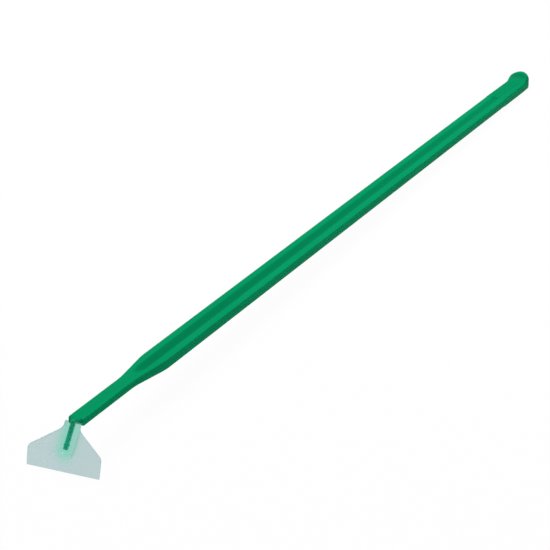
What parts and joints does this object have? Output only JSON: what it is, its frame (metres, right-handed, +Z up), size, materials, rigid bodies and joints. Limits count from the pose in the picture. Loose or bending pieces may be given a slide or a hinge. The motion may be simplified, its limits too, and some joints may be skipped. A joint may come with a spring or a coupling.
{
  "type": "cell scraper",
  "caption": "Long slim plastic handle, grooved along its grip, with a bent pin at one end that carries a soft bell-shaped scraping blade on a swivelling collar.",
  "frame": {"origin": "on the bench under the middle of the scraper's length, as it lies on its scraping edge and the far end of its handle", "axes": "+X along the handle from the blade to the far end, +Y across, +Z up from the bench"},
  "size_m": [0.3092, 0.018, 0.0102],
  "materials": {
    "handle_plastic": "moulded green plastic, satin gloss",
    "blade_plastic": "moulded soft plastic, translucent and uncoloured"
  },
  "bodies": {
    "handle": {"handle": "handle_plastic"},
    "blade": {"blade": "blade_plastic"}
  },
  "joints": [
    {"name": "blade_swivel", "type": "hinge", "parent": "handle", "child": "blade", "pos_m": [-0.151, 0, 0.00712], "axis": [0.6216, 0, 0.7833], "continuous": true}
  ]
}
